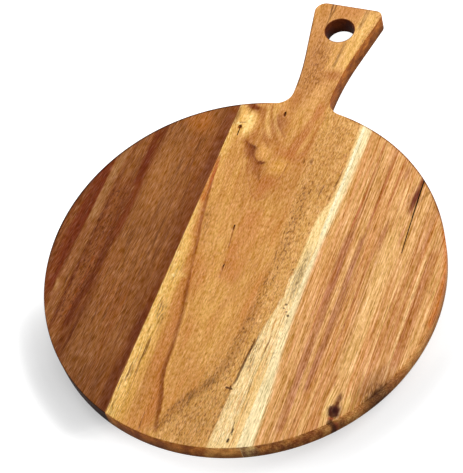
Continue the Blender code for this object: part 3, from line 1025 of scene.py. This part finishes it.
rightWood = {
    "lean": -0.5,
    "bow": 0.03,
    "rise": 0.0,
    "wander": 0.6,
    "wanderSize": (60, 160, 60),
    "ragged": 0.4,
    "slant": 0.02,
    "shift": 23.0,
    "bulges": [(108, -99, 7, 16, 0.7)],
    "tickSize": (0.8, 7.0, 0.8),
    "tickEdge": (0.1, 0.45),
    "tickAmount": 0.42,
    # the edge tints hold painted shade as well as the edges' own darker colour
    "sideTints": [(0.8, 0.62, 0.42, 1.0), (1.0, 0.9, 0.7, 1.0)],
    "endTints": [(0.28, 0.13, 0.1, 1.0), (0.9, 0.75, 0.5, 1.0)],
    "rimTint": (0.3, 0.16, 0.08, 1.0),
    "rimFrom": (50.0, 80.0),
    "tones": [
        (0.00, (74, 30, 14)),
        (0.25, (158, 94, 50)),
        (0.50, (212, 152, 92)),
        (0.75, (232, 182, 116)),
        (1.00, (254, 236, 190)),
    ],
    "bands": [
        (52, 0.53), (60, 0.56), (66, 0.53), (70, 0.46), (72, 0.38), (74, 0.44), (78, 0.54), (82, 0.45),
        (84, 0.38), (86, 0.52), (90, 0.55), (92, 0.44), (94, 0.52), (97, 0.45), (101, 0.55), (106, 0.62),
        (112, 0.58), (116, 0.51), (119, 0.57), (121, 0.43), (124, 0.51), (127, 0.43), (130, 0.51),
        (133, 0.59), (136, 0.40), (140, 0.44), (143, 0.57), (147, 0.58), (150, 0.48), (153, 0.50),
    ],
    "layers": [
        ("straight", (1.8, 420, 30), 3.0, 0.2),
        ("straight", (0.9, 90, 10), 2.0, 0.26),
        ("place", (4, 14, 4), 2.0, 0.05),
        ("place", (30, 60, 20), 1.0, 0.05),
    ],
    "flecks": [
        ("straight", (1.0, 36.0, 1.1), 2.0, 0.85),
        ("slanted", (0.9, 4.0, 1.0), 2.0, 0.52),
    ],
    "blushes": [
        ((206, 124, 66), 0.45, "straight", (5, 120, 12)),
        ((238, 186, 116), 0.4, "straight", (6, 160, 14)),
    ],
    "zones": [
        ((250, 228, 174), 0.95, -1, 2.2,
         [(150, 57.2), (120, 56.8), (80, 55.8), (50, 54.4), (20, 53), (-20, 53.2), (-60, 55), (-85, 57.5),
          (-110, 59.5), (-150, 60.5)]),
    ],
    "streaks": [
        ((224, 160, 90), 0.5, 1.6, (1.5, 2), "dashes", [(120, 57.5), (0, 56), (-80, 59), (-140, 63)]),
        ((236, 186, 118), 0.5, 5.0, 3, [(60, 104), (0, 104), (-75, 104)]),
        ((200, 136, 80), 0.5, 4.0, 3, [(0, 126), (-70, 127)]),
        ((180, 98, 54), 0.75, 0.5, 0.8, [(136, 71), (100, 71.4), (60, 70.5), (45, 70)]),
        ((176, 110, 76), 0.65, 2.4, 1.5, [(50, 71.5), (20, 71.5), (-20, 73), (-60, 73.5), (-130, 74)]),
        ((150, 86, 52), 0.6, 0.5, 0.7, "dashes", [(40, 72.5), (-20, 74), (-90, 75)]),
        ((178, 102, 58), 0.7, 0.5, 0.8, [(130, 83.2), (60, 82.5), (48, 82)]),
        ((168, 104, 74), 0.65, 1.4, 1.2, [(50, 81.5), (0, 81.6), (-40, 82), (-95, 82)]),
        ((178, 104, 58), 0.7, 0.4, 0.7, [(122, 91.4), (80, 91.2), (70, 91)]),
        ((186, 116, 68), 0.6, 0.5, 0.8, [(60, 94), (0, 92.5), (-60, 91.5), (-105, 90)]),
        ((180, 112, 66), 0.6, 0.5, 0.8, "dashes", [(40, 87.5), (-40, 87), (-115, 86)]),
        ((188, 116, 66), 0.6, 0.6, 0.8, "dashes", [(30, 66), (-50, 67), (-120, 69)]),
        ((246, 200, 130), 0.5, 0.7, 0.8, [(102, 100.6), (60, 101)]),
        ((132, 60, 40), 0.9, 1.3, (2.2, 0.4),
         [(112, 110.8), (100, 110.4), (90, 109.8), (80, 109.2), (68, 109.4)]),
        ((190, 122, 70), 0.7, 0.7, 0.8, [(80, 123.5), (-60, 123.5)]),
        ((186, 118, 68), 0.7, 0.7, 0.8, [(70, 128.5), (-50, 128.5)]),
        ((182, 112, 64), 0.7, 2.2, 1.5, [(50, 136.4), (0, 136.6), (-60, 136.7)]),
        ((160, 92, 50), 0.6, 0.5, 0.7, "dashes", [(45, 134.8), (0, 135.2), (-50, 136)]),
        ((246, 196, 136), 0.8, 0.45, 0.6, [(45, 131.8), (0, 132.4), (-40, 132.8), (-72, 133.8)]),
        ((190, 122, 72), 0.6, 0.4, 0.6, [(25, 112.6), (-45, 113.8)]),
        ((190, 122, 72), 0.6, 0.4, 0.6, [(10, 120), (-80, 120)]),
        ((240, 190, 122), 0.7, 0.5, 0.7, [(25, 147), (-40, 146.5)]),
        ((196, 122, 66), 0.5, 1.2, 1, [(30, 149.5), (-20, 149.8)]),
    ],
    "patches": [
        ((182, 116, 84), 0.6, (96.5, 108), (1.6, 7), 0, 0.6),
        ((166, 96, 62), 0.65, (95.8, 50), (1.6, 14), 0, 0.7),
        ((172, 100, 60), 0.6, (109.5, 52), (1.4, 9), 0, 0.7),
        ((104, 42, 32), 0.9, (109.4, 88), (2.0, 8), -4, 0.6),
        ((150, 88, 56), 0.5, (105, 86), (2.2, 10), -4, 0.8, "dashes"),
        # painted shade: these three dark patches by the lower right rim stand in for the shaded wall there
        ((150, 98, 62), 0.6, (127, -71), (6, 16), -25, 0.8),
        ((110, 60, 34), 0.7, (130, -77), (5, 13), -32, 0.7, "dashes"),
        ((58, 26, 12), 0.85, (132.5, -78), (3, 12), -32, 0.7),
        ((242, 198, 122), 0.6, (101.5, -97), (2.5, 12), 0, 0.6),
        ((242, 198, 122), 0.6, (114, -92), (2.2, 8), 0, 0.6),
        ((110, 56, 28), 0.8, (107.6, -93), (1.7, 7), 0, 0.8),
        ((104, 48, 26), 0.8, (107.6, -99.5), (5.2, 6), 0, 0.6, "dashes"),
        ((66, 24, 16), 0.95, (107.2, -100), (4.7, 5), 0, 0.4),
        ((92, 40, 22), 0.75, (107.8, -92), (2, 6), 0, 0.7, "dashes"),
        ((44, 15, 12), 0.8, (107.6, -99.2), (2, 2.4), 0, 0.5),
        ((150, 60, 34), 0.8, (107, -106), (2.2, 1.6), 0, 0.5),
        ((66, 22, 14), 0.85, (107.2, -109), (2.2, 2.4), 0, 0.5),
    ],
    "strokes": [
        ((170, 120, 68), 0.6, 0.6, 1.2, [(117.5, 94), (114.5, 89), (112.5, 84.5)]),
        ((70, 30, 18), 0.7, 0.4, 0.8, [(103.8, -97), (105, -103), (107, -104.5), (110.5, -102)]),
        # painted light: an orange band along the right rim stands in for its lit arris
        ((196, 112, 48), 0.65, 0.6, 2.2,
         [(137.8, 65), (143, 52.5), (147.2, 39.8), (150.2, 26.4), (152, 13.4), (152.8, 0), (151.5, -16)]),
    ],
    "cracks": [
        ([(110.8, 107), (111.2, 95), (111.7, 82), (112.2, 70)], 0.8, 2.5),
        ([(112.0, 76), (112.4, 67), (113, 52), (113.8, 38)], 0.45, 1.4),
    ],
}


# Glue lines: thin films between the staves, brown on the left and pale by the sapwood

glue = {
    "left": ((86, 50, 24), (120, 76, 40)),
    "right": ((232, 196, 130), (248, 226, 170)),
    "patchSize": (4, 9, 4),
    "patchEdge": (-0.5, 0.5),
    "roughness": 0.5,
    "roughnessSpread": 0.1,
    "specular": 0.12,
}


def glueMaterial(side):
    material, bench = newMaterial(side + "CuredGlue")
    place = bench.node("ShaderNodeTexCoord", out="Object")
    scaled = bench.node("ShaderNodeMapping", {"vector_type": "POINT"}, {0: place, 3: (perMetre,) * 3})
    blotch = bench.smooth(bench.noise(scaled, glue["patchSize"], detail=3.0), *glue["patchEdge"])
    dark, light = (srgb(*colour) for colour in glue[side])
    surface = {
        "Base Color": bench.mix(dark, light, blotch),
        "Roughness": blotch * glue["roughnessSpread"] + glue["roughness"],
        "Specular IOR Level": glue["specular"],
    }
    shader = bench.node("ShaderNodeBsdfPrincipled", None, surface)
    bench.node("ShaderNodeOutputMaterial", None, [shader])
    return material


# Camera and studio

view = {
    "azimuth": math.radians(36.044),
    "elevation": math.radians(54.513),
    "roll": math.radians(-18.727),
    "distance": 1.342,
    "target": Vector((-0.02287, 0.03119, 0)),
    "lens": 133.19,
}

studio = {
    "worldStrength": 0.25,
    "floorSize": 12.0,
    "floorDrop": 0.0004,
    "floorColour": (0.5, 0.5, 0.5, 1.0),
    # how far behind the middle, seen from the camera, and the floor's glow there
    "leftGlow": [
        (-0.27, 0.8), (-0.17, 0.72), (-0.12, 0.76), (-0.1, 0.68), (-0.085, 0.5), (-0.07, 0.37), (-0.04, 0.36),
        (-0.01, 0.41), (0.015, 0.5), (0.045, 0.78), (0.08, 1.0),
    ],
    "rightGlow": [
        (-0.27, 0.75), (-0.17, 0.52), (-0.14, 0.5), (-0.11, 0.58), (-0.08, 0.64), (0, 0.8), (0.08, 1.0),
    ],
    "glowSides": (-0.08, 0.04),
    "glowRing": (0.172, 0.2),
    "lamps": [
        # name, place, size, watts
        ("backRight", (0.85, 1.35, 1.15), 0.9, 20.0),
        ("backLeft", (-1.35, 0.75, 1.15), 0.9, 15.0),
        ("overhead", (0.0, 0.9, 1.8), 1.4, 8.0),
        ("right", (1.4, -0.5, 0.6), 0.9, 9.0),
    ],
}


def addCamera():
    lens = bpy.data.cameras.new("camera")
    lens.lens = view["lens"]
    camera = addObject("camera", lens)
    flat = math.cos(view["elevation"])
    back = Vector((math.sin(view["azimuth"]) * flat, -math.cos(view["azimuth"]) * flat, 0))
    back.z = math.sin(view["elevation"])
    camera.location = view["target"] + back * view["distance"]
    camera.rotation_mode = "QUATERNION"
    level = (-back).to_track_quat("-Z", "Y")
    camera.rotation_quaternion = level @ Quaternion((0, 0, 1), view["roll"])
    bpy.context.scene.camera = camera


def seenStraight(bench):
    # 1 on what the camera sees, straight, in a gloss or through glass
    kinds = ("Is Camera Ray", "Is Glossy Ray", "Is Transmission Ray")
    straight, gloss, through = bench.node("ShaderNodeLightPath", out=kinds)
    return straight.math("MAXIMUM", gloss.math("MAXIMUM", through))


def addWorld():
    world = bpy.data.worlds.new("studio")
    world.use_nodes = True
    bpy.context.scene.world = world
    bench = Bench(world.node_tree)
    fill = bench.node("ShaderNodeBackground", None, [white, studio["worldStrength"]])
    backdrop = bench.node("ShaderNodeBackground", None, [white, 1.0])
    sky = bench.node("ShaderNodeMixShader", None, [seenStraight(bench), fill, backdrop])
    bench.node("ShaderNodeOutputWorld", None, [sky])


def addFloor():
    material, bench = newMaterial("paleFloor")
    matt = bench.node("ShaderNodeBsdfDiffuse", None, [studio["floorColour"]])
    # its own glow is stronger behind the board, seen from the camera, than by its near side, and dimmer in a
    # ring round the board: painted shadow that darkens the floor there
    place = bench.node("ShaderNodeTexCoord", out="Object")
    x, y = bench.split(place, "XY")
    cosTurn, sinTurn = math.cos(view["azimuth"]), math.sin(view["azimuth"])
    behind, across = y * cosTurn - x * sinTurn, x * cosTurn + y * sinTurn
    left, right = (bench.curve(behind, studio[side]) for side in ("leftGlow", "rightGlow"))
    level = left + (right - left) * bench.smooth(across, *studio["glowSides"])
    # painted shadow: the glow stays dim close to the board
    level = level + (1.0 - level) * bench.smooth((x * x + y * y) ** 0.5, *studio["glowRing"])
    bright = bench.mix(black, white, level)
    glow = bench.node("ShaderNodeEmission", None, [bright, seenStraight(bench)])
    bench.node("ShaderNodeOutputMaterial", None, [bench.node("ShaderNodeAddShader", None, [matt, glow])])
    bm = bmesh.new()
    drop = Matrix.Translation((0, 0, -studio["floorDrop"]))
    bmesh.ops.create_grid(bm, x_segments=1, y_segments=1, size=studio["floorSize"] / 2, matrix=drop)
    floor = addObject("floor", meshFrom(bm, "floor"))
    floor.data.materials.append(material)


def addLamps():
    for name, place, size, watts in studio["lamps"]:
        lamp = bpy.data.lights.new(name, "AREA")
        lamp.size = size
        lamp.energy = watts
        holder = addObject(name, lamp)
        holder.location = place
        holder.rotation_mode = "QUATERNION"
        holder.rotation_quaternion = (-Vector(place)).to_track_quat("-Z", "Y")


# Putting it together

def buildBoard():
    panel = cutPanel()
    left = staveMaterial("darkHeartwood", leftWood)
    centre = staveMaterial("goldenHeartwood", centreWood, cathedralTone, paintHoleShade)
    right = staveMaterial("stripedHeartwood", rightWood)
    pieces = [
        ("leftStave", "left_stave", "dark_heartwood", left, leftWood),
        ("leftGlueLine", "left_glue_line", "cured_glue", glueMaterial("left"), {}),
        ("centreStave", "centre_stave", "golden_heartwood", centre, centreWood),
        ("rightGlueLine", "right_glue_line", "cured_glue", glueMaterial("right"), {}),
        ("rightStave", "right_stave", "striped_heartwood", right, rightWood),
    ]
    for name, node, slot, material, wood in pieces:
        share = panel.copy()
        low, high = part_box(node)
        keepBetween(share, low.x, high.x)
        addPiece(name, node, share, material, wood)
    panel.free()


bpy.context.scene.view_settings.view_transform = "Standard"
addCamera()
addWorld()
addFloor()
addLamps()
print("studio ready")
buildBoard()

print("board finished")
